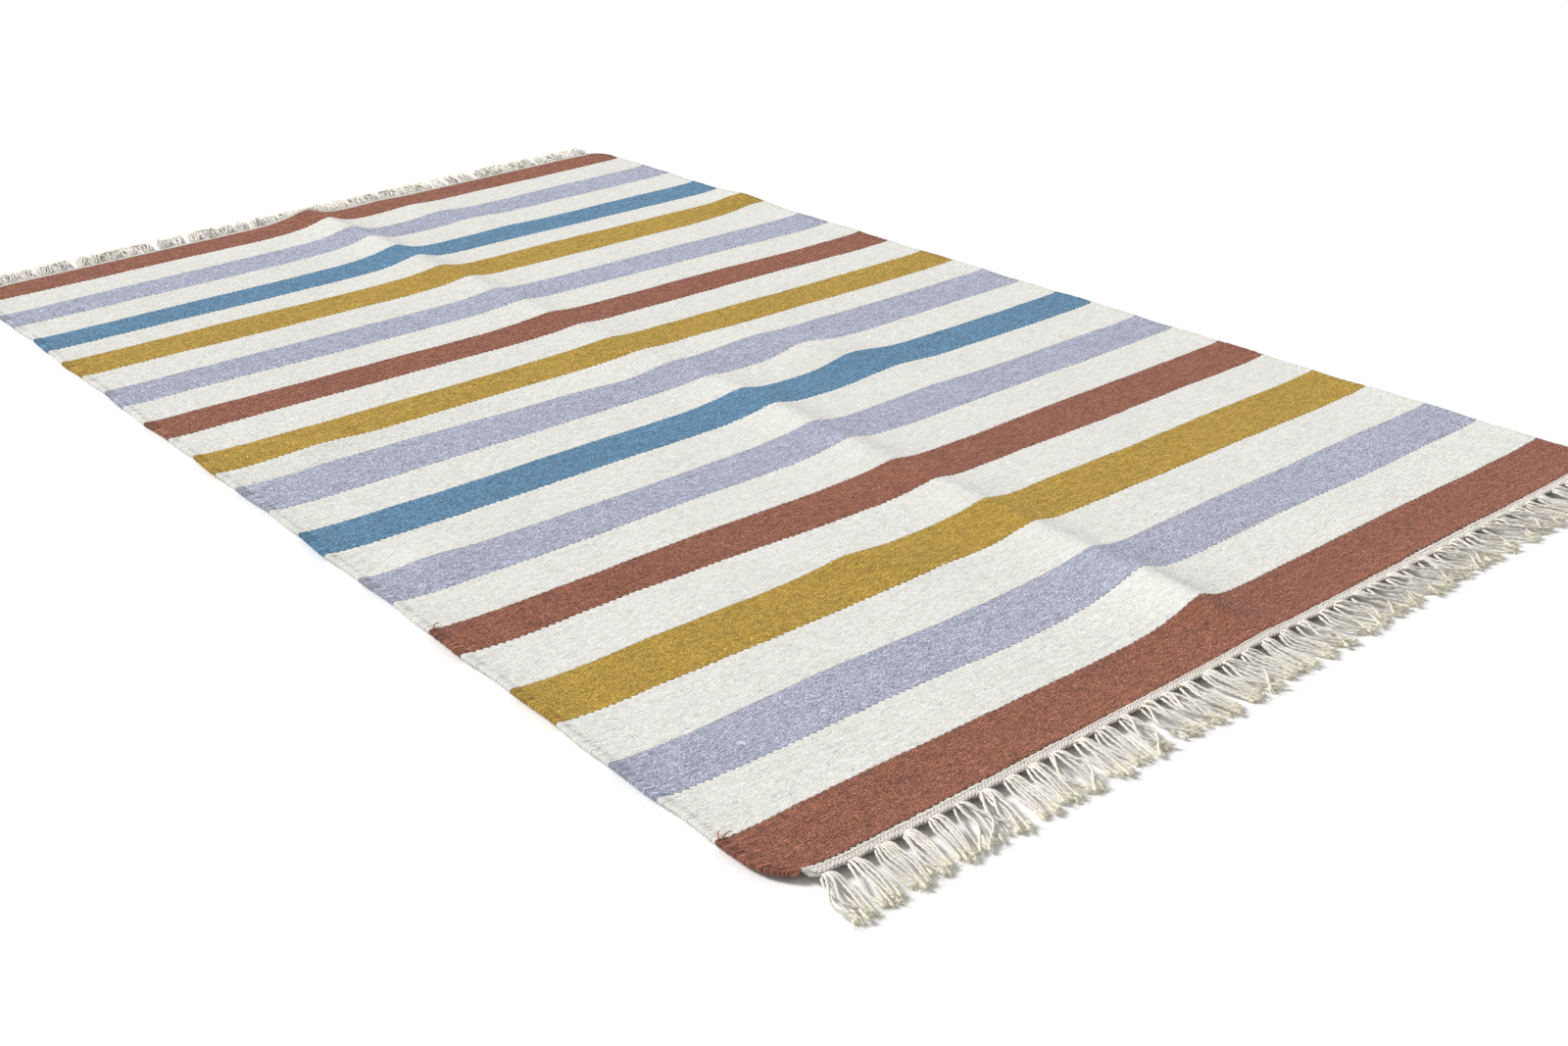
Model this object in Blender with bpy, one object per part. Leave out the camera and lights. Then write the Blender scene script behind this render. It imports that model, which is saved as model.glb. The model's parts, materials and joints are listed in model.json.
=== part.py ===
"""Flat-woven striped wool rug with fringed ends, laid on a floor.

The rug is built as it is woven. Cotton warps run the whole length as an inner sheet, with a
bundle of thicker cords along each side. Wool weft is beaten over them in bands of colour, so
each band is a sleeve round the warps. A narrow cotton web closes each end, and past it the
warps are gathered into tassels.

Frame: +X across the width, +Y along the length to the far end, +Z up, origin on the floor
under the middle of the rug. A soft crease runs lengthwise, where the rug was folded for
transport. The rug also folds end over end, on a line between two of its middle bands.
"""
import math

import bmesh
import bpy

# Driving dimensions, in metres.
rug_width = 0.914
rug_thickness = 0.0040
weft_wall = 0.0008
edge_round = 0.0012

end_web_length = 0.0080

selvedge_cord_width = 0.0050
selvedge_cord_inset = 0.0005

tassel_count = 41
tassel_length = 0.0460
knot_bar_length = 0.0030
knot_width = 0.0110
tassel_belly_width = 0.0165
tassel_tip_width = 0.0190
tassel_belly_share = 0.55
tassel_thickness = 0.0040

crease_x = 0.0080
crease_left_run = 0.0750
crease_right_run = 0.0300
crease_height_at_fold = 0.0030
crease_height_at_end = 0.0110
crease_height_at_near_web = 0.0040
crease_left_steps = 4
crease_right_steps = 3

gap = 0.0003
fold_clearance = 0.0005

# The yarn and the length of each band, from the far end to the near end. They are beaten down
# by hand, so no two come out quite alike.
bands = [
    ("brown", 0.054), ("ivory", 0.060), ("lavender", 0.057), ("ivory", 0.060),
    ("blue", 0.053), ("ivory", 0.048), ("mustard", 0.060), ("ivory", 0.061),
    ("lavender", 0.057), ("ivory", 0.058), ("brown", 0.054), ("ivory", 0.060),
    ("mustard", 0.054), ("ivory", 0.047), ("lavender", 0.062), ("ivory", 0.057),
    ("blue", 0.053), ("ivory", 0.060), ("lavender", 0.053), ("ivory", 0.058),
    ("brown", 0.053), ("ivory", 0.061), ("mustard", 0.060), ("ivory", 0.062),
    ("lavender", 0.055), ("ivory", 0.058), ("brown", 0.057),
]
fold_after_band = 13

# Worked out from the dimensions above.
band_colours = [colour for colour, length in bands]
band_edges = [0.0]
for colour, length in bands:
    band_edges.append(band_edges[-1] - length)
woven_half = -band_edges[-1] / 2
band_edges = [edge + woven_half for edge in band_edges]

fold_y = band_edges[fold_after_band]
web_outer_y = woven_half + end_web_length
core_thickness = rug_thickness - 2 * weft_wall - 2 * gap
core_bottom = weft_wall + gap
core_inset = weft_wall + selvedge_cord_inset
warp_half_width = rug_width / 2 - core_inset - selvedge_cord_width - gap
web_half_width = warp_half_width + gap + weft_wall


def crease_crest(y):
    """Height of the crease's crest at y: lowest on the fold line, and fading at the near web."""
    profile = [(-web_outer_y, crease_height_at_near_web), (band_edges[-2], crease_height_at_end),
               (fold_y, crease_height_at_fold), (web_outer_y, crease_height_at_end)]
    y = min(max(y, -web_outer_y), web_outer_y)
    for (y_low, low), (y_high, high) in zip(profile, profile[1:]):
        if y <= y_high:
            return low + (high - low) * (y - y_low) / (y_high - y_low)
    return crease_height_at_end


def crease_lift(x, y):
    """How far the crease lifts the cloth off the floor at x, y."""
    run = crease_left_run if x < crease_x else crease_right_run
    share = min(abs(x - crease_x) / run, 1.0)
    return crease_crest(y) * (1 + math.cos(math.pi * share)) / 2


def crease_stations():
    """Places across the width where the cloth bends over the crease, left to right."""
    left = [crease_x - crease_left_run * step / crease_left_steps
            for step in range(crease_left_steps, 0, -1)]
    right = [crease_x + crease_right_run * step / crease_right_steps
             for step in range(1, crease_right_steps + 1)]
    return left + [crease_x] + right


def make_collection(name):
    collection = bpy.data.collections.new(name)
    bpy.context.scene.collection.children.link(collection)
    return collection


def make_material(name, colour, roughness):
    material = bpy.data.materials.new(name)
    material.use_nodes = True
    shader = material.node_tree.nodes["Principled BSDF"]
    shader.inputs["Base Color"].default_value = (*colour, 1.0)
    shader.inputs["Roughness"].default_value = roughness
    shader.inputs["Metallic"].default_value = 0.0
    return material


def finish_mesh(bm, name, material, parent):
    """Lay the flat shape over the crease, and make it an object of the rug."""
    for vert in bm.verts:
        vert.co.z += crease_lift(vert.co.x, vert.co.y)
    bmesh.ops.recalc_face_normals(bm, faces=bm.faces)
    bmesh.ops.triangulate(bm, faces=bm.faces, quad_method="SHORT_EDGE")
    mesh = bpy.data.meshes.new(name)
    bm.to_mesh(mesh)
    bm.free()
    mesh.materials.append(material)
    part = bpy.data.objects.new(name, mesh)
    rug_collection.objects.link(part)
    part.parent = parent
    return part


def sleeve_sections(half_width):
    """Outer and inner outlines of a flattened sleeve, as lists of x, z around it."""
    low_side = edge_round
    high_side = rug_thickness - edge_round
    across = [-half_width + edge_round] + crease_stations() + [half_width - edge_round]
    outer = [(-half_width, low_side), (-half_width, high_side)]
    outer += [(x, rug_thickness) for x in across]
    outer += [(half_width, high_side), (half_width, low_side)]
    outer += [(x, 0.0) for x in reversed(across)]
    side = half_width - weft_wall
    inner = [(max(-side, min(side, x)), max(weft_wall, min(rug_thickness - weft_wall, z)))
             for x, z in outer]
    return outer, inner


def make_sleeve(name, half_width, y_low, y_high, material, parent):
    """Weft beaten round the warps: a flat tube, open where the warps run through."""
    bm = bmesh.new()
    outer, inner = sleeve_sections(half_width)
    outer_verts = [bm.verts.new((x, y_low, z)) for x, z in outer]
    inner_verts = [bm.verts.new((x, y_low, z)) for x, z in inner]
    count = len(outer)
    rim = [bm.faces.new((outer_verts[i], outer_verts[(i + 1) % count],
                         inner_verts[(i + 1) % count], inner_verts[i]))
           for i in range(count)]
    swept = bmesh.ops.extrude_face_region(bm, geom=rim, use_keep_orig=True)
    moved = [item for item in swept["geom"] if isinstance(item, bmesh.types.BMVert)]
    bmesh.ops.translate(bm, verts=moved, vec=(0.0, y_high - y_low, 0.0))
    return finish_mesh(bm, name, material, parent)


def make_slab(name, columns, rows, bottom, thickness, material, parent):
    """A flat layer with its corners on the given columns in x and rows in y."""
    bm = bmesh.new()
    bmesh.ops.create_grid(bm, x_segments=len(columns) - 1, y_segments=len(rows) - 1, size=1.0)
    ordered = sorted(bm.verts, key=lambda vert: (round(vert.co.y, 5), vert.co.x))
    for index, vert in enumerate(ordered):
        row, column = divmod(index, len(columns))
        vert.co = (columns[column], rows[row], bottom)
    swept = bmesh.ops.extrude_face_region(bm, geom=bm.faces[:], use_keep_orig=True)
    moved = [item for item in swept["geom"] if isinstance(item, bmesh.types.BMVert)]
    bmesh.ops.translate(bm, verts=moved, vec=(0.0, 0.0, thickness))
    return finish_mesh(bm, name, material, parent)


def core_rows(y_low, y_high):
    """Every place between two ends where a band stops, so the layers bend together."""
    inside = [edge for edge in band_edges if y_low + gap < edge < y_high - gap]
    return [y_low] + sorted(inside) + [y_high]


def make_band(index, material, parent):
    name = f"band_{index + 1:02d}_{band_colours[index]}"
    y_low = band_edges[index + 1] + gap / 2
    y_high = band_edges[index] - gap / 2
    return make_sleeve(name, rug_width / 2, y_low, y_high, material, parent)


def make_end_web(end, direction, material, parent):
    inner_y = woven_half + gap / 2
    y_low, y_high = sorted((direction * inner_y, direction * web_outer_y))
    return make_sleeve(f"end_web_{end}", web_half_width, y_low, y_high, material, parent)


def reach_from_fold(direction, stop_y):
    """The stretch on one side of the fold line, out to stop_y, lowest y first."""
    return sorted((fold_y + direction * gap / 2, direction * stop_y))


def make_warp_sheet(end, direction, material, parent):
    columns = [-warp_half_width] + crease_stations() + [warp_half_width]
    rows = core_rows(*reach_from_fold(direction, web_outer_y))
    return make_slab(f"warp_sheet_{end}", columns, rows, core_bottom, core_thickness,
                     material, parent)


def make_selvedge_cord(end, direction, side, side_sign, material, parent):
    outer_x = side_sign * (rug_width / 2 - core_inset)
    columns = sorted((outer_x, outer_x - side_sign * selvedge_cord_width))
    rows = reach_from_fold(direction, woven_half)
    return make_slab(f"selvedge_cord_{end}_{side}", columns, rows, core_bottom,
                     core_thickness, material, parent)


def make_fringe(end, direction, material, parent):
    """The warp ends of one side, tied along a bar of knots and left as tassels."""
    pitch = 2 * web_half_width / tassel_count
    belly_y = knot_bar_length + tassel_length * tassel_belly_share
    rows = [(0.0, knot_width), (knot_bar_length, knot_width),
            (belly_y, tassel_belly_width), (knot_bar_length + tassel_length, tassel_tip_width)]

    bm = bmesh.new()
    grid = []
    for reach, width in rows:
        y = direction * (web_outer_y + gap + reach)
        line = [bm.verts.new((-web_half_width, y, 0.0))]
        for tassel in range(tassel_count):
            centre = -web_half_width + (tassel + 0.5) * pitch
            line.append(bm.verts.new((centre - width / 2, y, 0.0)))
            line.append(bm.verts.new((centre + width / 2, y, 0.0)))
        line.append(bm.verts.new((web_half_width, y, 0.0)))
        grid.append(line)
    for row in range(len(rows) - 1):
        for column in range(len(grid[0]) - 1):
            in_bar = row == 0
            in_tassel = column % 2 == 1
            if in_bar or in_tassel:
                bm.faces.new((grid[row][column], grid[row][column + 1],
                              grid[row + 1][column + 1], grid[row + 1][column]))
    loose = [vert for vert in bm.verts if not vert.link_faces]
    bmesh.ops.delete(bm, geom=loose, context="VERTS")
    swept = bmesh.ops.extrude_face_region(bm, geom=bm.faces[:], use_keep_orig=True)
    moved = [item for item in swept["geom"] if isinstance(item, bmesh.types.BMVert)]
    bmesh.ops.translate(bm, verts=moved, vec=(0.0, 0.0, tassel_thickness))

    # The tips lie on the floor, even under the crease.
    for vert in bm.verts:
        reach = abs(vert.co.y) - web_outer_y - gap
        drop = max(0.0, min(1.0, (reach - knot_bar_length) / tassel_length))
        vert.co.z -= drop * crease_lift(vert.co.x, vert.co.y)
    return finish_mesh(bm, f"fringe_{end}", material, parent)


for old in list(bpy.data.objects):
    bpy.data.objects.remove(old, do_unlink=True)
rug_collection = make_collection("striped_rug")

wool = {
    "brown": make_material("brown_wool", (0.305, 0.127, 0.089), 0.95),
    "lavender": make_material("lavender_wool", (0.474, 0.491, 0.578), 0.95),
    "blue": make_material("blue_wool", (0.144, 0.271, 0.429), 0.95),
    "mustard": make_material("mustard_wool", (0.497, 0.342, 0.084), 0.95),
    "ivory": make_material("ivory_wool", (0.768, 0.753, 0.694), 0.95),
}
warp_cotton = make_material("warp_cotton", (0.72, 0.69, 0.60), 0.90)
web_cotton = make_material("web_cotton", (0.70, 0.68, 0.61), 0.90)
fringe_cotton = make_material("fringe_cotton", (0.74, 0.71, 0.63), 0.90)

# Each half hangs from an empty on the fold's axis, which clears the crease on the fold line.
fold_z = rug_thickness + crease_height_at_fold + fold_clearance
halves = {}
for end in ("far", "near"):
    pivot = bpy.data.objects.new(f"{end}_half", None)
    pivot.location = (0.0, fold_y, fold_z)
    rug_collection.objects.link(pivot)
    halves[end] = pivot

for band_index, colour in enumerate(band_colours):
    half = "far" if band_index < fold_after_band else "near"
    make_band(band_index, wool[colour], halves[half])

for end, direction in (("far", 1), ("near", -1)):
    make_end_web(end, direction, web_cotton, halves[end])
    make_warp_sheet(end, direction, warp_cotton, halves[end])
    make_selvedge_cord(end, direction, "left", -1, warp_cotton, halves[end])
    make_selvedge_cord(end, direction, "right", 1, warp_cotton, halves[end])
    make_fringe(end, direction, fringe_cotton, halves[end])

# The meshes are drawn in world coordinates, so each is set back by its parent's place.
bpy.context.view_layer.update()
for part in rug_collection.objects:
    if part.parent:
        part.matrix_parent_inverse = part.parent.matrix_world.inverted()
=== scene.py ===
import json
import math

import bpy
import numpy as np
from mathutils import Matrix, Vector

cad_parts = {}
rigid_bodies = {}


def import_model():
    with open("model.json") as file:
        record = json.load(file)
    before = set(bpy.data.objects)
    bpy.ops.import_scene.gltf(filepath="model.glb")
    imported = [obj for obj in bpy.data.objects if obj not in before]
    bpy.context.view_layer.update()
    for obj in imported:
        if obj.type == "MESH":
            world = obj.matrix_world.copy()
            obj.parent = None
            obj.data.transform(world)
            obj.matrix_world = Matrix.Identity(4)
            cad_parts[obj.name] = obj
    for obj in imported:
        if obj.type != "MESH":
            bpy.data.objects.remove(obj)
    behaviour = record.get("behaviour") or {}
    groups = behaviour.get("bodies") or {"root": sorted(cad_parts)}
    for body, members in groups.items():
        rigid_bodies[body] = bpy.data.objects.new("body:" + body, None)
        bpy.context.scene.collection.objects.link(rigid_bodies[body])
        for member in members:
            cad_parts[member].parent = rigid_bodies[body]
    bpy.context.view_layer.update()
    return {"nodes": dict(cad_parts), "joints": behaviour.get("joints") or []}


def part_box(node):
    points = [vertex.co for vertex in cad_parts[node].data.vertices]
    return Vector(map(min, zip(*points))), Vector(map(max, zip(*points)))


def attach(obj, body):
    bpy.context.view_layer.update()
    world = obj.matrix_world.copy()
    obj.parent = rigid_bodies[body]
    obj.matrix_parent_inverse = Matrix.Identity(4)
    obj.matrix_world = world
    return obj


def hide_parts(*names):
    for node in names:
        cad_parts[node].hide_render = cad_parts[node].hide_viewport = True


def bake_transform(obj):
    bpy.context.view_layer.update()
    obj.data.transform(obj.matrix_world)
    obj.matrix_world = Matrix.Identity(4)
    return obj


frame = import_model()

# ---------------------------------------------------------------------------------------------
# The view: from low beside the near left corner, looking along the rug to its far right corner.
# The far left and near right corners of the rug are outside it.
view_from = Vector((-0.9631, -1.4285, 0.6365))
view_azimuth = math.radians(38.262)
view_down = math.radians(25.543)
view_roll = math.radians(-1.925)
view_lens = 40.89
view_sensor = 36.0
view_nearest = 0.02

look = Vector((math.sin(view_azimuth) * math.cos(view_down),
               math.cos(view_azimuth) * math.cos(view_down),
               -math.sin(view_down)))
turn = look.to_track_quat("-Z", "Y").to_matrix() @ Matrix.Rotation(view_roll, 3, "Z")
camera_data = bpy.data.cameras.new("view")
camera_data.lens = view_lens
camera_data.sensor_width = view_sensor
camera_data.clip_start = view_nearest
camera = bpy.data.objects.new("view", camera_data)
camera.matrix_world = Matrix.Translation(view_from) @ turn.to_4x4()
bpy.context.scene.collection.objects.link(camera)
bpy.context.scene.camera = camera
bpy.context.scene.view_settings.view_transform = "Standard"

# ---------------------------------------------------------------------------------------------
# The studio: a plain white floor, a broad soft light from behind on the left, and white all
# round, so that the shadows stay faint.
floor_half = 12.0
floor_drop = 0.0002
floor_white = 0.90
air_strength = 0.47
key_strength = 3.6
key_softness = math.radians(16.0)

floor_mesh = bpy.data.meshes.new("studio_floor")
floor_mesh.from_pydata([(-floor_half, -floor_half, -floor_drop),
                        (floor_half, -floor_half, -floor_drop),
                        (floor_half, floor_half, -floor_drop),
                        (-floor_half, floor_half, -floor_drop)],
                       [], [(0, 1, 2, 3)])
floor = bpy.data.objects.new("studio_floor", floor_mesh)
bpy.context.scene.collection.objects.link(floor)
floor_paint = bpy.data.materials.new("studio_white")
floor_paint.use_nodes = True
floor_shader = floor_paint.node_tree.nodes["Principled BSDF"]
floor_shader.inputs["Base Color"].default_value = (floor_white, floor_white, floor_white, 1.0)
floor_shader.inputs["Roughness"].default_value = 0.9
floor_shader.inputs["Specular IOR Level"].default_value = 0.0
floor_mesh.materials.append(floor_paint)

sky = bpy.data.worlds.new("studio_air")
sky.use_nodes = True
sky.node_tree.nodes["Background"].inputs["Color"].default_value = (1.0, 1.0, 1.0, 1.0)
sky.node_tree.nodes["Background"].inputs["Strength"].default_value = air_strength
bpy.context.scene.world = sky

key_data = bpy.data.lights.new("soft_key", "SUN")
key_data.energy = key_strength
key_data.angle = key_softness
key = bpy.data.objects.new("soft_key", key_data)
key_travels = Vector((0.45, -0.66, -0.60))
key.matrix_world = key_travels.to_track_quat("-Z", "Y").to_matrix().to_4x4()
bpy.context.scene.collection.objects.link(key)

# ---------------------------------------------------------------------------------------------
# The weft bands: wool yarn carried over and under the warps, turned back at each side, and
# beaten down until it hides them. Where two colours meet, their last picks lock in small teeth.
# The cloth keeps the crease that it was folded on, with a few low ripples beside it.
warp_count = 300
fleck_share = 0.0007
pick_pitch = 0.00105
float_height = 0.00030
tooth_length = 0.0005
band_clearance = 0.00006
cloth_top = 0.00362
cloth_bottom = 0.00036
fold_touch = 0.001
selvedge_width = 0.0065
corner_length = 0.035
corner_inset = 0.017

band_nodes = sorted(node for node in frame["nodes"] if node.startswith("band_"))
fold = frame["joints"][0]
fold_y = fold["pos_m"][1]
half_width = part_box(band_nodes[0])[1].x
woven_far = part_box(band_nodes[0])[1].y
woven_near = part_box(band_nodes[-1])[0].y
warp_pitch = 2 * half_width / warp_count
warp_places = (np.arange(warp_count) + 0.5) * warp_pitch - half_width

crest_slack = 0.0046
crest_left_fall = 0.030
crest_right_fall = 0.0165
near_end_lift = 0.0034
near_end_reach = 0.020
left_curl_height = 0.0030
right_curl_height = 0.0016
side_curl_reach = 0.016
skew_slope = 0.034
skew_starts = 0.30
skew_run = 0.40

# Each ripple: middle x and y, how far x moves per metre of y, half width, half length, height.
ripples = [
    (0.140, -0.095, -0.39, 0.034, 0.085, 0.0070),
    (0.118, 0.660, -0.25, 0.032, 0.110, 0.0036),
    (-0.149, -0.480, -0.85, 0.032, 0.060, 0.0038),
    (-0.395, -0.254, 0.00, 0.034, 0.030, 0.0034),
    (-0.357, 0.029, 0.00, 0.036, 0.032, 0.0024),
    (0.440, 0.420, 0.00, 0.026, 0.040, 0.0045),
]


def crest_height(y):
    """Height of the crease at y: highest near both ends, low in the middle and at the near web."""
    places = [-0.79, -0.77, -0.745, -0.71, -0.65, -0.60, -0.45, -0.36, -0.30, -0.15, -0.04, 0.12,
              0.43, 0.49, 0.80]
    heights = [0.0008, 0.0018, 0.0060, 0.0116, 0.0116, 0.0072, 0.0062, 0.0044, 0.0070, 0.0072,
               0.0016, 0.0030, 0.0058, 0.0100, 0.0106]
    return np.interp(y, places, heights)


def crest_place(y):
    """Where the crease runs: nearly straight, bowed a little to the right in the middle."""
    places = [-0.77, -0.70, -0.60, -0.45, -0.30, -0.10, 0.03, 0.15, 0.40, 0.50, 0.60, 0.71, 0.80]
    across = [-0.012, -0.010, -0.003, 0.001, 0.005, 0.010, 0.006, 0.001, 0.000, -0.008, -0.010,
              -0.013, -0.020]
    return np.interp(y, places, across)


def cloth_lift(x, y):
    """How far the cloth lies off the floor at x, y."""
    crest_x = crest_place(y)
    aside = x - crest_x
    away = np.sqrt(aside ** 2 + crest_slack ** 2) - crest_slack
    fall = np.where(aside < 0, crest_left_fall, crest_right_fall)
    lift = crest_height(y) * np.exp(-(away / fall) ** 1.25)
    for middle_x, middle_y, slant, wide, long, high in ripples:
        across = (x - middle_x - slant * (y - middle_y)) / wide
        along = (y - middle_y) / long
        lift = lift + high * np.exp(-across ** 2 - along ** 2)
    left_curl = left_curl_height * np.exp(-(x + half_width) / side_curl_reach)
    left_curl = left_curl * np.clip((0.30 - y) / 0.30, 0.15, 1.0)
    right_curl = right_curl_height * np.exp(-(half_width - x) / side_curl_reach)
    past_end = np.clip(y - woven_near, 0.0, 1.0)
    near_curl = near_end_lift * np.exp(-past_end / near_end_reach)
    rolling = 0.0004 * (1 + np.sin(9.0 * x + 5.0 * y)) * (1 + np.sin(13.0 * y - 4.0 * x)) / 2
    return lift + left_curl + right_curl + near_curl + rolling


def side_wave(x, y):
    """The sides aren't quite straight: each band pulls in or lets out a little."""
    at_side = np.clip((np.abs(x) - half_width + 0.05) / 0.05, 0.0, 1.0)
    wave = 0.0009 * np.sin(31.0 * y + 1.0) + 0.0006 * np.sin(83.0 * y + 2.5 * np.sign(x))
    return x + np.sign(x) * at_side * (wave - 0.0018)


def corner_round(x, y):
    """The four corners are pulled in and rounded by the end web."""
    to_end = np.minimum(woven_far - y, y - woven_near)
    close = np.clip(1 - to_end / corner_length, 0.0, 1.0) ** 2.2
    near_side = np.clip((np.abs(x) - half_width + 0.09) / 0.09, 0.0, 1.0)
    return x - np.sign(x) * corner_inset * close * near_side


def end_skew(x, y):
    """How far the askew far end moves y: its left side comes nearer, its right side goes away."""
    return skew_slope * x * np.clip((y - skew_starts) / skew_run, 0.0, 1.0)


def make_wool(name, dark, light, speck, painted_hollow_shade, patchy, relief_depth):
    """Matt wool or cotton. Its shades are read from the mesh, and its floats, fibres and painted
    shade in the hollows between floats from the mesh's weave grid. Cords have no such grid, so
    their detail is in their shape and shades."""
    wool = bpy.data.materials.new(name)
    wool.use_nodes = True
    nodes = wool.node_tree.nodes
    link = wool.node_tree.links.new
    shader = nodes["Principled BSDF"]
    shader.inputs["Roughness"].default_value = 0.92
    shader.inputs["Specular IOR Level"].default_value = 0.15
    shader.inputs["Sheen Weight"].default_value = 0.12
    shader.inputs["Sheen Roughness"].default_value = 0.6

    heather = nodes.new("ShaderNodeAttribute")
    heather.attribute_name = "heather"
    shade = nodes.new("ShaderNodeAttribute")
    shade.attribute_name = "shade"
    grid = nodes.new("ShaderNodeUVMap")
    grid.uv_map = "picks"
    wander = nodes.new("ShaderNodeTexNoise")
    wander.inputs["Scale"].default_value = 1.3
    wander.inputs["Detail"].default_value = 2.0
    link(grid.outputs["UV"], wander.inputs["Vector"])
    centred = nodes.new("ShaderNodeVectorMath")
    centred.operation = "SUBTRACT"
    centred.inputs[1].default_value = (0.5, 0.5, 0.5)
    link(wander.outputs["Color"], centred.inputs[0])
    uneven = nodes.new("ShaderNodeVectorMath")
    uneven.operation = "MULTIPLY_ADD"
    uneven.inputs[1].default_value = (2.0, 2.0, 0.0)
    link(centred.outputs["Vector"], uneven.inputs[0])
    link(grid.outputs["UV"], uneven.inputs[2])
    split = nodes.new("ShaderNodeSeparateXYZ")
    link(uneven.outputs["Vector"], split.inputs["Vector"])

    waves = []
    for axis in ("X", "Y"):
        angle = nodes.new("ShaderNodeMath")
        angle.operation = "MULTIPLY"
        angle.inputs[1].default_value = math.pi
        link(split.outputs[axis], angle.inputs[0])
        wave = nodes.new("ShaderNodeMath")
        wave.operation = "COSINE"
        link(angle.outputs[0], wave.inputs[0])
        waves.append(wave)
    product = nodes.new("ShaderNodeMath")
    product.operation = "MULTIPLY"
    link(waves[0].outputs[0], product.inputs[0])
    link(waves[1].outputs[0], product.inputs[1])
    float_shape = nodes.new("ShaderNodeMapRange")
    float_shape.interpolation_type = "SMOOTHSTEP"
    float_shape.inputs["From Min"].default_value = -1.0
    float_shape.inputs["From Max"].default_value = 0.7
    link(product.outputs[0], float_shape.inputs["Value"])

    stretch = nodes.new("ShaderNodeVectorMath")
    stretch.operation = "MULTIPLY"
    stretch.inputs[1].default_value = (3.4, 1.7, 1.0)
    link(grid.outputs["UV"], stretch.inputs[0])
    fibres = nodes.new("ShaderNodeTexNoise")
    fibres.inputs["Scale"].default_value = 1.0
    fibres.inputs["Detail"].default_value = 2.0
    fibres.inputs["Roughness"].default_value = 0.65
    link(stretch.outputs["Vector"], fibres.inputs["Vector"])

    blend_yarn = nodes.new("ShaderNodeMix")
    blend_yarn.data_type = "RGBA"
    blend_yarn.inputs[6].default_value = (*dark, 1.0)
    blend_yarn.inputs[7].default_value = (*light, 1.0)
    link(heather.outputs["Fac"], blend_yarn.inputs[0])

    # Painted shade: the colour is darkened in the hollows between floats and lightened on their
    # tops.
    painted_valley_shade = nodes.new("ShaderNodeMapRange")
    painted_valley_shade.inputs["To Min"].default_value = painted_hollow_shade
    painted_valley_shade.inputs["To Max"].default_value = 1.12
    link(float_shape.outputs["Result"], painted_valley_shade.inputs["Value"])
    fleece = nodes.new("ShaderNodeMapRange")
    fleece.inputs["From Min"].default_value = 0.36
    fleece.inputs["From Max"].default_value = 0.64
    fleece.inputs["To Min"].default_value = 1.0 - speck
    fleece.inputs["To Max"].default_value = 1.0 + speck
    link(fibres.outputs["Fac"], fleece.inputs["Value"])
    painted_shade_and_fibres = nodes.new("ShaderNodeMath")
    painted_shade_and_fibres.operation = "MULTIPLY"
    link(painted_valley_shade.outputs["Result"], painted_shade_and_fibres.inputs[0])
    link(fleece.outputs["Result"], painted_shade_and_fibres.inputs[1])
    streak = nodes.new("ShaderNodeMath")
    streak.operation = "MULTIPLY_ADD"
    streak.inputs[1].default_value = patchy
    streak.inputs[2].default_value = 1.0 - patchy
    link(shade.outputs["Fac"], streak.inputs[0])
    tone = nodes.new("ShaderNodeMath")
    tone.operation = "MULTIPLY"
    link(painted_shade_and_fibres.outputs[0], tone.inputs[0])
    link(streak.outputs[0], tone.inputs[1])
    dyed = nodes.new("ShaderNodeVectorMath")
    dyed.operation = "SCALE"
    link(blend_yarn.outputs[2], dyed.inputs[0])
    link(tone.outputs[0], dyed.inputs["Scale"])
    link(dyed.outputs["Vector"], shader.inputs["Base Color"])

    relief = nodes.new("ShaderNodeMath")
    relief.operation = "MULTIPLY_ADD"
    relief.inputs[1].default_value = 0.45
    link(fibres.outputs["Fac"], relief.inputs[0])
    link(float_shape.outputs["Result"], relief.inputs[2])
    bump = nodes.new("ShaderNodeBump")
    bump.inputs["Strength"].default_value = relief_depth
    bump.inputs["Distance"].default_value = 0.0005
    link(relief.outputs[0], bump.inputs["Height"])
    link(bump.outputs["Normal"], shader.inputs["Normal"])
    return wool


wools = {
    "brown": make_wool("brown_wool", (0.295, 0.104, 0.062), (0.460, 0.181, 0.113), 0.52, 0.37,
                       1.0, 0.9),
    "lavender": make_wool("lavender_wool", (0.440, 0.455, 0.575), (0.590, 0.612, 0.742), 0.34, 0.54,
                          1.0, 0.9),
    "blue": make_wool("blue_wool", (0.118, 0.265, 0.423), (0.178, 0.355, 0.545), 0.36, 0.50,
                      1.0, 0.9),
    "mustard": make_wool("mustard_wool", (0.480, 0.300, 0.042), (0.640, 0.415, 0.074), 0.36, 0.54,
                         1.0, 0.9),
    "ivory": make_wool("ivory_wool", (0.700, 0.690, 0.635), (0.775, 0.770, 0.725), 0.09, 0.87,
                       0.5, 0.45),
}


def make_object(name, points, quads, material, corner_uv, values, body=None):
    """A mesh object from arrays: points, four-cornered faces, and a value of each kind a point."""
    mesh = bpy.data.meshes.new(name)
    mesh.from_pydata(points, [], quads)
    if corner_uv is not None:
        layer = mesh.uv_layers.new(name="picks")
        layer.data.foreach_set("uv", corner_uv.astype(np.float32).ravel())
    for kind, numbers in values.items():
        attribute = mesh.attributes.new(kind, "FLOAT", "POINT")
        attribute.data.foreach_set("value", numbers.astype(np.float32).ravel())
    mesh.shade_smooth()
    mesh.materials.append(material)
    made = bpy.data.objects.new(name, mesh)
    bpy.context.scene.collection.objects.link(made)
    if body:
        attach(made, body)
    return made


def strip_phase(name):
    """A fixed phase for each strip, so that slow shading differs from one to the next."""
    return float(sum(ord(letter) for letter in name) % 63) / 10


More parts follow.
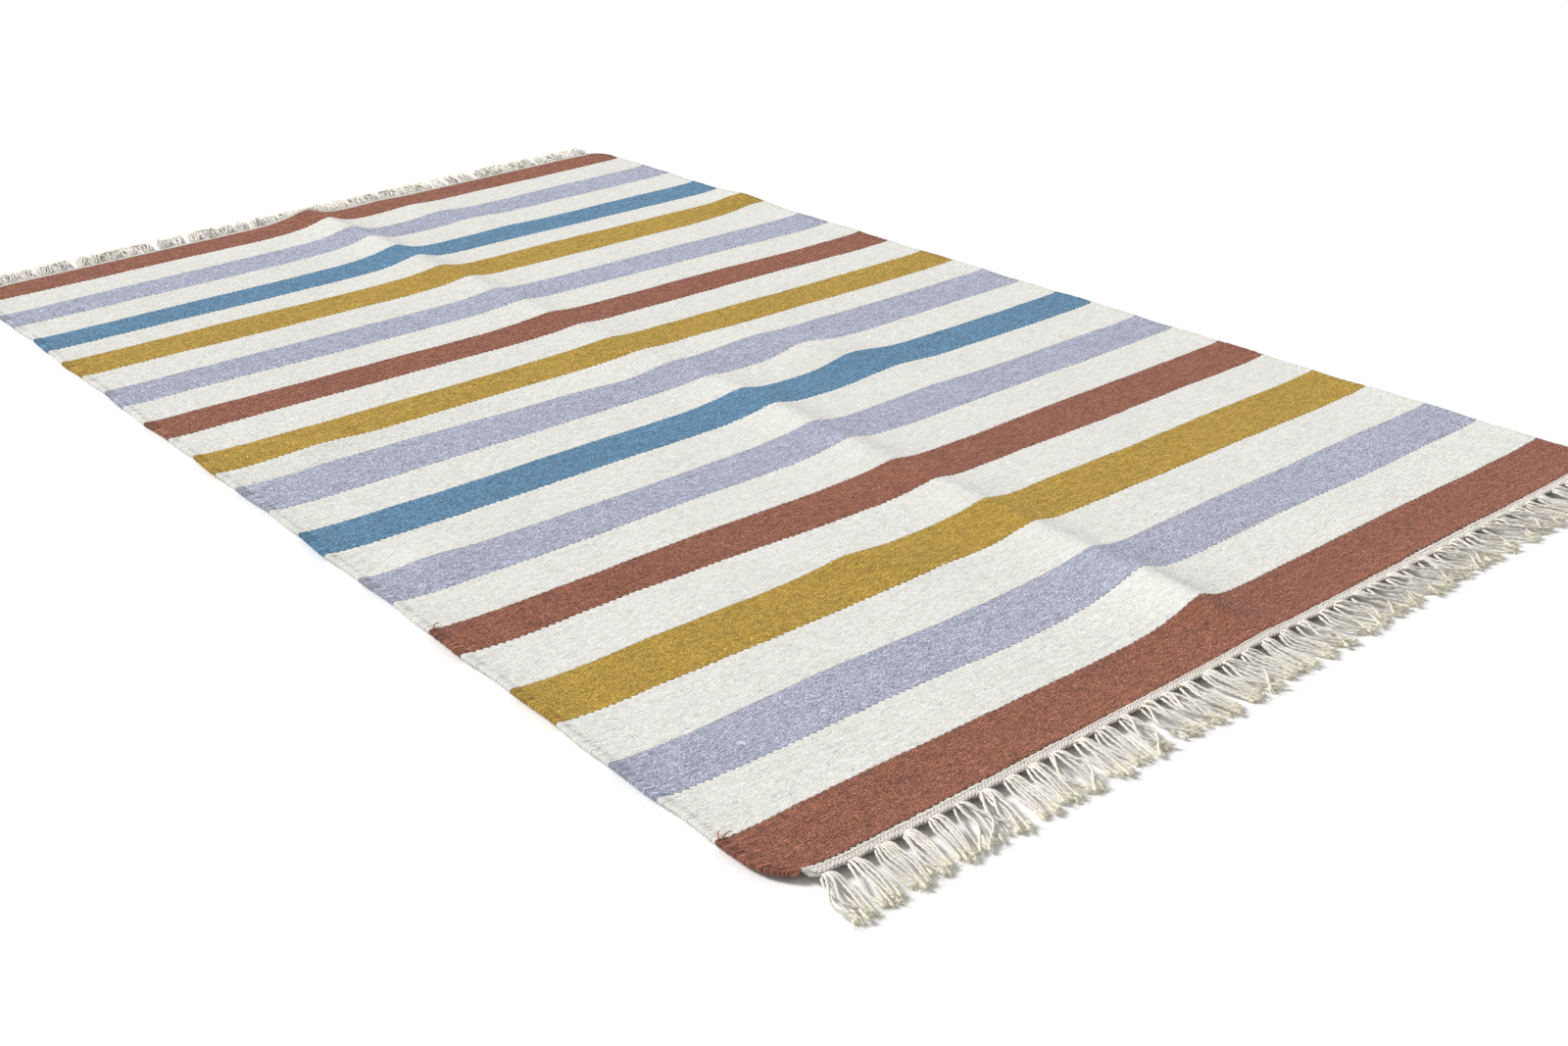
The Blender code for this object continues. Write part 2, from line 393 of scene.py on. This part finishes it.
# Places where the beat pulled the picks aside: middle x and y, half width, half length, shift.
pulls = [
    (-0.130, -0.660, 0.110, 0.070, -0.0050),
    (-0.330, -0.413, 0.170, 0.035, 0.0060),
    (-0.330, -0.017, 0.120, 0.030, 0.0055),
    (-0.450, -0.420, 0.030, 0.200, 0.0030),
    (0.160, -0.413, 0.300, 0.030, -0.0030),
    (-0.080, -0.440, 0.100, 0.040, -0.0050),
    (-0.050, -0.017, 0.040, 0.030, -0.0085),
    (0.150, -0.180, 0.045, 0.090, 0.0060),
    (0.430, 0.374, 0.070, 0.020, 0.0120),
]


def pulled(x, y):
    """How far the picks at x, y lie from where a straight beat would leave them."""
    shift = 0.0 * x
    for middle_x, middle_y, wide, long, far in pulls:
        shift = shift + far * np.exp(-((x - middle_x) / wide) ** 2 - ((y - middle_y) / long) ** 2)
    return shift


def border_line(edge, chance):
    """Where two bands meet: a line that wanders a little, with a tooth at every other warp."""
    x = warp_places
    line = edge + pulled(x, edge)
    for length, size in ((0.55, 0.0009), (0.21, 0.0006), (0.07, 0.00025)):
        phase = chance.uniform(0, 2 * math.pi)
        line += size * chance.uniform(0.6, 1.3) * np.sin(2 * math.pi * x / length + phase)
    sides = np.where(np.arange(warp_count) % 2 == 0, 1.0, -1.0)
    return line + tooth_length * sides * chance.uniform(0.0, 1.6, warp_count)


def weave_strip(name, across, far_line, near_line, material, chance, speckled, row_pitch, body,
                top=cloth_top, bottom=cloth_bottom):
    """Weft-faced cloth between two border lines, with a float at every other crossing."""
    warps = len(across)
    side_x = across[-1] + warp_pitch / 2
    rows = max(4, int(round(np.mean(far_line - near_line) / row_pitch)))
    down = np.linspace(0.0, 1.0, rows + 1)
    middle = (top + bottom) / 2
    cheek = (top - bottom) * 0.32

    # Once round the strip: over the top, down the right side, back under, up the left side.
    ring_x = np.concatenate([across, [side_x, side_x], across[::-1], [-side_x, -side_x]])
    ring_z = np.concatenate([np.full(warps, top), [middle + cheek, middle - cheek],
                             np.full(warps, bottom), [middle - cheek, middle + cheek]])
    ring_up = np.concatenate([np.ones(warps), [0.3, -0.3],
                              -np.ones(warps), [-0.3, 0.3]])
    ring_out = np.concatenate([np.zeros(warps), [1, 1], np.zeros(warps), [-1, -1]])
    index = np.arange(warps)
    ring_warp = np.concatenate([index, [warps, warps + 1],
                                index[::-1] + 1, [-1, -2]])
    line_pick = np.clip(ring_warp, 0, warps - 1)
    line_pick[warps + 2:2 * warps + 2] = index[::-1]
    count = len(ring_x)

    pick = np.arange(rows + 1)[:, None]
    sign = np.where((ring_warp[None, :] + pick) % 2 == 0, 1.0, -1.0)
    edge_near = np.clip((selvedge_width - (side_x - np.abs(ring_x))) / 0.002, 0.0, 1.0)
    loop_sign = np.where(pick % 2 == 0, 1.0, -1.0) * np.ones(count)
    uneven = chance.uniform(0.4, 1.5, (rows + 1, count))
    weave = sign * (1 - edge_near) * uneven + 1.6 * loop_sign * edge_near * uneven[:, :1]

    y = far_line[line_pick] + (near_line - far_line)[line_pick] * down[:, None]
    inside = (np.abs(ring_x) < side_x - 0.004) * np.ones((rows + 1, 1))
    inside[[0, 1, -2, -1]] = 0.0
    y = y + inside * chance.uniform(-0.32, 0.32, y.shape) * row_pitch
    x = ring_x + inside * chance.uniform(-0.24, 0.24, y.shape) * warp_pitch
    if side_x > half_width - warp_pitch:
        x = corner_round(side_wave(x, y), y)
    y = y + end_skew(x, y)
    swell = 0.00025 * edge_near * np.sign(ring_up)
    z = ring_z + swell + weave * float_height * ring_up + cloth_lift(x, y)
    x = x + ring_out * weave * float_height
    points = np.stack([x, y, z], axis=-1).reshape(-1, 3)

    column = np.arange(count)
    beside = (column + 1) % count
    row = np.arange(rows)[:, None]
    quads = np.stack([row * count + column, (row + 1) * count + column,
                      (row + 1) * count + beside, row * count + beside], axis=-1).reshape(-1, 4)
    side_warps = int(selvedge_width / warp_pitch)
    pick_u = np.clip(ring_warp, side_warps, warps - 1 - side_warps)[None, :] + 0.0 * pick
    pick_v = pick + 0.0 * ring_warp[None, :]
    flat_uv = np.stack([pick_u, pick_v], axis=-1).reshape(-1, 2).astype(float)
    corner_uv = flat_uv[quads]

    # The two ends: each top point is joined to the one under it, and the sides close it off.
    over = np.arange(-1, warps + 1) % count
    under = (2 * warps + 1 - np.arange(-1, warps + 1)) % count
    ends = []
    for row_start, outward in ((0, True), (rows * count, False)):
        face = np.stack([over[:-1], over[1:], under[1:], under[:-1]], axis=-1) + row_start
        ends.append(face if outward else face[:, ::-1])
    quads = np.concatenate([quads] + ends)
    corner_uv = np.concatenate([corner_uv, flat_uv[np.concatenate(ends)]])

    slub = chance.normal(0, 1, (rows + 1, count))
    slub = 0.5 * (slub + np.roll(slub, 1, axis=1))
    shade = 1 + 0.075 * chance.normal(0, 1, (rows + 1, count)) + 0.07 * slub
    slow = np.sin(19 * x + 7 * y + strip_phase(name)) * np.sin(23 * y - 11 * x)
    # Painted shade: the two side faces of each strip are drawn 22 percent darker; the selvedge is
    # drawn 10 percent darker too.
    shade = shade * (1 - 0.10 * edge_near) * (1 - 0.22 * np.abs(ring_out)) * (1 + 0.02 * slow)
    heather = 0.5 + 0.26 * chance.normal(0, 1, (rows + 1, count)) + 0.15 * slub
    flecks = chance.random((rows + 1, count)) < speckled
    shade = np.where(flecks, shade * chance.uniform(0.45, 0.75, shade.shape), shade)
    values = {"shade": np.clip(shade, 0.3, 1.35), "heather": np.clip(heather, 0.0, 1.0)}
    return make_object(name, points, quads, material, corner_uv, values, body)


border_seed = 27
band_seed = 100
border_luck = np.random.default_rng(border_seed)
border_lines = []
for number in range(len(band_nodes) + 1):
    if number < len(band_nodes):
        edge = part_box(band_nodes[number])[1].y
    else:
        edge = woven_near
    border_lines.append(border_line(edge, border_luck))

near_end_droop = 0.0028
corner_pull = 0.0055
corner_pull_reach = 0.016
corner_curve = corner_pull * np.exp(-(half_width - np.abs(warp_places)) / corner_pull_reach)
border_lines[0] = border_lines[0] - corner_curve
border_lines[-1] = border_lines[-1] + corner_curve - near_end_droop

for number, node in enumerate(band_nodes):
    colour = node.split("_")[-1]
    far_line = border_lines[number] - band_clearance
    near_line = border_lines[number + 1] + band_clearance
    node_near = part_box(node)[0].y
    node_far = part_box(node)[1].y
    crosses_fold = min(abs(node_near - fold_y), abs(node_far - fold_y)) < fold_touch
    body = fold["child"] if node_near > fold_y - fold_touch else fold["parent"]
    band = weave_strip(f"woven_{node}", warp_places, far_line, near_line, wools[colour],
                       np.random.default_rng(band_seed + number), fleck_share, pick_pitch,
                       None if crosses_fold else body)
    if crosses_fold:
        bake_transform(band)
    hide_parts(node)

# ---------------------------------------------------------------------------------------------
# The end webs: a narrow strip of the warp's own cotton, woven past the last wool pick, with
# pairs of cords twined over it so that their slants meet in a row of chevrons. Its outer edge is
# drawn into shallow arches between the tassels.
tassel_count = 41
arch_depth = 0.0024
web_spare = {"far": 0.0, "near": 0.0042}
bare_warps = 2
twine_rows = 4
twine_radius = 0.00078
twine_pitch = 0.0058
twine_turn_points = 8
twine_sides = 6
twine_height = 0.00305
twine_wrap = 0.00062
twine_rise = 0.00055
web_pick_pitch = 0.0011
web_top = 0.0033
web_bottom = 0.0019
web_seeds = {"far": 301, "near": 302}

cottons = {
    "web": make_wool("web_cotton", (0.530, 0.500, 0.445), (0.720, 0.685, 0.640), 0.14, 0.78,
                     1.0, 0.8),
    "fringe": make_wool("fringe_cotton", (0.820, 0.775, 0.620), (0.650, 0.625, 0.590), 0.10, 0.85,
                        1.2, 0.8),
}

web_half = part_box("end_web_near")[1].x - corner_inset - 0.002
tassel_pitch = (2 * web_half - 0.011) / (tassel_count - 1)


def web_arch(x):
    """0 where a tassel leaves the web, 1 half way between two tassels."""
    return np.abs(np.sin(math.pi * x / tassel_pitch)) ** 1.2


def sweep(path, spin, section_x, section_z):
    """A tube along many paths at once: path is (cords, points, 3), spin the turn at each point."""
    ahead = np.gradient(path, axis=1)
    ahead /= np.linalg.norm(ahead, axis=2, keepdims=True)
    upward = np.zeros_like(ahead)
    upward[..., 2] = 1.0
    aside = np.cross(ahead, upward)
    aside /= np.maximum(np.linalg.norm(aside, axis=2, keepdims=True), 1e-6)
    over = np.cross(aside, ahead)
    c = np.cos(spin)[..., None]
    s = np.sin(spin)[..., None]
    flat = section_x * c - section_z * s
    high = section_x * s + section_z * c
    around = path[:, :, None, :] + flat[..., None] * aside[:, :, None, :]
    return around + high[..., None] * over[:, :, None, :]


def tube_faces(cords, points, sides):
    """Faces of the tubes that sweep makes, with both ends closed."""
    base = np.arange(cords)[:, None, None] * points * sides
    along = np.arange(points - 1)[None, :, None] * sides
    around = np.arange(sides)[None, None, :]
    after = (around + 1) % sides
    wall = np.stack([base + along + around, base + along + after,
                     base + along + sides + after, base + along + sides + around], axis=-1)
    faces = [wall.reshape(-1, 4)]
    starts = np.arange(cords)[:, None] * points * sides
    for step in range(1, sides // 2):
        cap = np.stack([starts + step - 1, starts + (sides - step) % sides,
                        starts + (sides - step - 1), starts + step], axis=-1)[:, 0]
        faces.append(cap)
        faces.append(cap[:, ::-1] + (points - 1) * sides)
    return np.concatenate(faces)[:, ::-1]


def make_web(end, outward, chance):
    """The web of one end, with its twined rows. Outward is 1 at the far end, -1 at the near."""
    edge = woven_far if outward > 0 else woven_near - near_end_droop
    web_low, web_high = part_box(f"end_web_{end}")
    outer = web_high.y if outward > 0 else web_low.y
    inner_line = border_lines[0 if outward > 0 else -1] + outward * band_clearance
    across = corner_round(side_wave(warp_places, inner_line), inner_line)[bare_warps:-bare_warps]
    inner_line = inner_line[bare_warps:-bare_warps]
    outer = outer + outward * web_spare[end]
    outer_line = outer - outward * (arch_depth * web_arch(across) - 0.0004)
    outer_line = outer_line - outward * 0.0045 * np.exp(-(web_half - np.abs(across)) / 0.010)
    outer_line = outer_line + 0.00025 * chance.normal(0, 1, len(across))
    far_line, near_line = (outer_line, inner_line) if outward > 0 else (inner_line, outer_line)
    body = fold["child"] if outward > 0 else fold["parent"]
    web = weave_strip(f"woven_end_web_{end}", across, far_line, near_line, cottons["web"], chance,
                      0.0, web_pick_pitch, body, top=web_top, bottom=web_bottom)
    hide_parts(f"end_web_{end}")

    turns = int(2 * web_half / twine_pitch)
    steps = turns * twine_turn_points + 1
    x = np.linspace(-web_half + 0.0012, web_half - 0.0012, steps)
    paths = []
    length = abs(outer - edge)
    for row in range(twine_rows):
        share = (row + 0.85) / (twine_rows + 0.25)
        y = edge + outward * (length * share - arch_depth * web_arch(x) * share ** 2)
        y = y - outward * 0.0055 * np.exp(-(web_half - np.abs(x)) / 0.012)
        y = y + 0.00018 * np.convolve(chance.normal(0, 1, steps), np.ones(5) / 2.2, "same")
        slant = 1 if row % 2 == 0 else -1
        for strand in range(2):
            angle = slant * 2 * math.pi * (x / twine_pitch) + math.pi * strand
            path_y = y + twine_wrap * np.cos(angle) + end_skew(x, y)
            path_z = twine_height + twine_rise * np.sin(angle) + cloth_lift(x, path_y)
            paths.append(np.stack([x, path_y, path_z], axis=-1))
    path = np.array(paths)
    angles = np.arange(twine_sides) * math.pi / (twine_sides / 2)
    ring = sweep(path, np.zeros(path.shape[:2]), twine_radius * np.cos(angles)[None, None, :],
                 twine_radius * np.sin(angles)[None, None, :])
    faces = tube_faces(len(path), steps, twine_sides)
    points = ring.reshape(-1, 3)
    values = {"shade": 1 + 0.06 * chance.normal(0, 1, len(points)),
              "heather": np.clip(0.65 + 0.2 * chance.normal(0, 1, len(points)), 0, 1)}
    twine = make_object(f"twined_rows_{end}", points, faces, cottons["web"], None, values, body)
    return web, twine


webs = {"far": make_web("far", 1, np.random.default_rng(web_seeds["far"])),
        "near": make_web("near", -1, np.random.default_rng(web_seeds["near"]))}

# ---------------------------------------------------------------------------------------------
# The fringes: past each web the warps are gathered seven or so to a tassel. Every one is a cord
# of two plies. They spring apart from a narrow root, bow up off the floor, draw together again
# and fray into soft beige tufts.
cord_radius = 0.00104
ply_pitch = 0.0050
cord_points = 44
cord_sides = 8
ply_depth = 0.10
tassel_groups = 4
lean_places = [-0.430, -0.400, -0.320, -0.260, -0.050, 0.120, 0.300, 0.450]
leans = [-0.002, -0.010, -0.010, -0.002, 0.005, 0.019, 0.020, 0.016]
fibres_a_tip = 36
fibre_points = 4
fibre_radius = 0.00010
root_half = 0.0017
far_lean = 0.013
far_reach = 0.93
tangle_x = 0.09
tangle_reach = 0.075
fringe_seeds = {"far": 401, "near": 402}


def tassel_paths(end, outward, chance):
    """The middle line of every cord of one fringe, with the tassel that each belongs to."""
    web_low, web_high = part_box(f"end_web_{end}")
    fringe_low, fringe_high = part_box(f"fringe_{end}")
    root_y = (web_high.y if outward > 0 else web_low.y) + outward * web_spare[end]
    full_reach = abs((fringe_high.y if outward > 0 else fringe_low.y) - root_y)
    along = np.linspace(0.0, 1.0, cord_points)
    paths, owner = [], []
    drift = 0.0
    for tassel in range(tassel_count):
        root_x = (tassel - (tassel_count - 1) / 2) * tassel_pitch + chance.normal(0, 0.0008)
        drift = 0.5 * drift + chance.normal(0, 0.0026)
        if outward > 0:
            lean = drift + far_lean
            reach = far_reach * full_reach
        else:
            lean = drift + np.interp(root_x, lean_places, leans)
            reach = full_reach * np.interp(root_x, [-0.10, 0.15], [1.0, 0.78])
        slant = lean / math.hypot(lean, reach)
        busy = math.exp(-((root_x - tangle_x) / tangle_reach) ** 2)
        cords = int(chance.choice([6, 7, 7, 7, 8]))
        belly = chance.uniform(0.0052, 0.0086) + 0.002 * busy
        tip_half = chance.uniform(0.0035, 0.0062)
        bow = chance.uniform(0.0034, 0.0064)
        tangled = chance.random() < 0.28 + 0.6 * busy
        for cord in range(cords):
            place = 2 * cord / (cords - 1) - 1 + chance.normal(0, 0.05)
            bulb = np.sin(math.pi * np.clip(along / 1.12, 0, 1) ** 0.66) ** 0.9
            spread = root_half * (1 - along) + belly * bulb + tip_half * along ** 3
            sway = chance.normal(0, 0.0007) * np.sin(math.pi * along * chance.uniform(1.2, 2.6))
            x = root_x + lean * along ** 1.4 + place * spread * math.sqrt(1 - slant ** 2) + sway
            hump = bow * (1.15 - 0.5 * place ** 2) * chance.uniform(0.75, 1.25)
            if tangled and cord in (1, cords // 2):
                side = chance.choice([-1, 1])
                x = x + side * chance.uniform(0.004, 0.011) * np.sin(math.pi * along ** 1.3) ** 2
                x = x - side * chance.uniform(0.000, 0.008) * along ** 2
                hump = hump + 0.0025
            length = reach * chance.uniform(0.80, 0.96) * (1 - 0.05 * place ** 2)
            y = root_y + outward * (length * along - 0.0024 * (1 - along) ** 6)
            y = y + end_skew(x, y) - outward * place * (spread - root_half) * slant
            layer = cord % 2
            drop = np.clip(along / 0.35, 0, 1)
            drop = drop * drop * (3 - 2 * drop)
            root_z = 0.0016 + 0.0012 * layer + 0.9 * cloth_lift(x[:1], y[:1])
            packed = 0.0019 * layer * np.clip(1 - bulb, 0, 1)
            z = root_z * (1 - drop) + (cord_radius * 1.1 + packed) * drop
            z = z + hump * np.sin(math.pi * along ** 0.66) ** 1.1
            paths.append(np.stack([x, y, z], axis=-1))
            owner.append(tassel)
    return np.array(paths), np.array(owner)


def fray_paths(tips, ahead, chance):
    """Loose fibres that splay from the last of each cord, curling as they go."""
    cords = len(tips)
    shape = (cords, fibres_a_tip, 1, 1)
    along = np.linspace(0.0, 1.0, fibre_points)[None, None, :, None]
    length = chance.uniform(0.0020, 0.0046, shape)
    swing = chance.normal(0, 0.75, shape)
    lift = chance.normal(0.30, 0.50, shape)
    curl = chance.normal(0, 1.1, shape)
    side = np.stack([-ahead[:, 1], ahead[:, 0], 0 * ahead[:, 0]], axis=-1)[:, None, None, :]
    start = tips[:, None, None, :] - ahead[:, None, None, :] * chance.uniform(0, 0.010, shape)
    start = start + 0.0010 * chance.normal(0, 1, (cords, fibres_a_tip, 1, 3)) * (1, 1, 0.5)
    path = start + ahead[:, None, None, :] * length * along * np.cos(swing)
    path = path + side * length * (np.sin(swing) * along + 0.45 * curl * along ** 2)
    path[..., 2:3] += length * (lift * along - 0.25 * along ** 2)
    path[..., 2] = np.maximum(path[..., 2], 0.00025)
    return path.reshape(cords * fibres_a_tip, fibre_points, 3)


def make_fringe(end, outward, chance):
    """The tassels of one end, in a few groups. They stand for the hidden warps and edge cords."""
    paths, owner = tassel_paths(end, outward, chance)
    body = fold["child"] if outward > 0 else fold["parent"]
    corners = np.arange(cord_sides) * 2 * math.pi / cord_sides
    lobes = 1 + ply_depth * np.cos(2 * corners) - ply_depth * 0.5
    made = []
    for group in range(tassel_groups):
        low = group * tassel_count // tassel_groups
        high = (group + 1) * tassel_count // tassel_groups
        chosen = (owner >= low) & (owner < high)
        path = paths[chosen]
        run = np.linalg.norm(np.diff(path, axis=1), axis=2).cumsum(axis=1)
        run = np.concatenate([np.zeros((len(path), 1)), run], axis=1)
        spin = 2 * math.pi * run / (2 * ply_pitch) + chance.uniform(0, 6, (len(path), 1))
        down = np.linspace(0, 1, cord_points)
        swell = np.interp(down, [0, 0.80, 0.90, 0.96, 1.0], [1.0, 1.0, 1.20, 1.35, 0.7])
        ragged = 1 + 0.22 * np.clip(down - 0.8, 0, 0.2)[None, :, None] / 0.2 * chance.normal(
            0, 1, (len(path), cord_points, cord_sides))
        wide = cord_radius * lobes[None, None, :] * swell[None, :, None] * ragged
        ring = sweep(path, spin, wide * np.cos(corners), wide * np.sin(corners) * 0.92)
        ring[..., 2] = np.maximum(ring[..., 2], 0.0001)
        cords = ring.reshape(-1, 3)
        faces = tube_faces(len(path), cord_points, cord_sides)
        worn = np.interp(down, [0, 0.70, 0.90, 1.0], [0.75, 0.80, 0.35, 0.10])
        tone = chance.normal(0, 0.04, (len(path), 1, 1))
        # Painted shade: points in the groove between the two plies are drawn darker, points on the
        # plies a little lighter.
        painted_groove_shade = np.where(lobes > 1.0, 1.02, 0.94)[None, None, :]
        shade = (1 + tone) * painted_groove_shade * np.ones((len(path), cord_points, cord_sides))
        shade = shade * (2.0 - ragged.clip(0.7, 1.3))
        heather = worn[None, :, None] + 0.10 * chance.normal(0, 1, shade.shape)

        ahead = path[:, -1] - path[:, -4]
        ahead /= np.linalg.norm(ahead, axis=1, keepdims=True)
        fibre = fray_paths(path[:, -1], ahead, chance)
        thick = fibre_radius * np.linspace(1.25, 0.55, fibre_points)[None, :, None]
        angles = np.arange(4) * math.pi / 2
        hair = sweep(fibre, np.zeros(fibre.shape[:2]), thick * np.cos(angles),
                     thick * np.sin(angles))
        hair_faces = tube_faces(len(fibre), fibre_points, 4) + len(cords)
        hair_points = hair.reshape(-1, 3)
        hair_shade = np.repeat(chance.uniform(0.88, 1.20, len(fibre)), fibre_points * 4)
        hair_heather = np.repeat(chance.uniform(0.0, 0.60, len(fibre)), fibre_points * 4)

        points = np.concatenate([cords, hair_points])
        values = {"shade": np.concatenate([shade.ravel(), hair_shade]),
                  "heather": np.clip(np.concatenate([heather.ravel(), hair_heather]), 0, 1)}
        tassels = make_object(f"tassels_{end}_{group + 1}", points,
                              np.concatenate([faces, hair_faces]), cottons["fringe"], None,
                              values, body)
        made.append(tassels)
    sides = [f"selvedge_cord_{end}_{side}" for side in ("left", "right")]
    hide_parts(f"fringe_{end}", f"warp_sheet_{end}", *sides)
    return made


fringes = {"far": make_fringe("far", 1, np.random.default_rng(fringe_seeds["far"])),
           "near": make_fringe("near", -1, np.random.default_rng(fringe_seeds["near"]))}

# ---------------------------------------------------------------------------------------------
# Yarn tails: where a brown band begins, its yarn's end is tucked back into the cloth beside the
# left selvedge. A few of these wool ends have worked loose and lie on the ivory.
tail_length = 0.009
tail_radius = 0.00055
tail_points = 12
tail_sides = 8
tail_seed = 503

tail_luck = np.random.default_rng(tail_seed)
# Each tail: the border it starts from, how far in from the side, the way it is turned.
tails = [(26, 0.004, 0.9), (26, 0.007, 0.2), (20, 0.005, 0.6)]
tail_paths = []
for border, inward, turned in tails:
    reach_on = np.linspace(0.0, 1.0, tail_points)
    start_x = corner_round(-half_width + inward, border_lines[border][1])
    x = start_x + tail_length * reach_on * math.cos(turned)
    y = border_lines[border][1] + tail_length * reach_on * math.sin(turned)
    y = y + 0.0012 * np.sin(math.pi * reach_on) * tail_luck.uniform(0.5, 1.5)
    z = cloth_top + 0.0008 + cloth_lift(x, y) + 0.0014 * np.sin(math.pi * reach_on * 0.8)
    tail_paths.append(np.stack([x, y, z], axis=-1))
tail_paths = np.array(tail_paths)
tail_corners = np.arange(tail_sides) * 2 * math.pi / tail_sides
tail_width = tail_radius * np.linspace(1.0, 0.5, tail_points)[None, :, None]
tail_ring = sweep(tail_paths, np.zeros(tail_paths.shape[:2]), tail_width * np.cos(tail_corners),
                  tail_width * np.sin(tail_corners))
tail_ring = tail_ring.reshape(-1, 3)
tail_values = {"shade": 1 + 0.08 * tail_luck.normal(0, 1, len(tail_ring)),
               "heather": tail_luck.uniform(0.2, 0.9, len(tail_ring))}
yarn_tails = make_object("yarn_tails_brown", tail_ring,
                         tube_faces(len(tail_paths), tail_points, tail_sides), wools["brown"],
                         None, tail_values, fold["parent"])
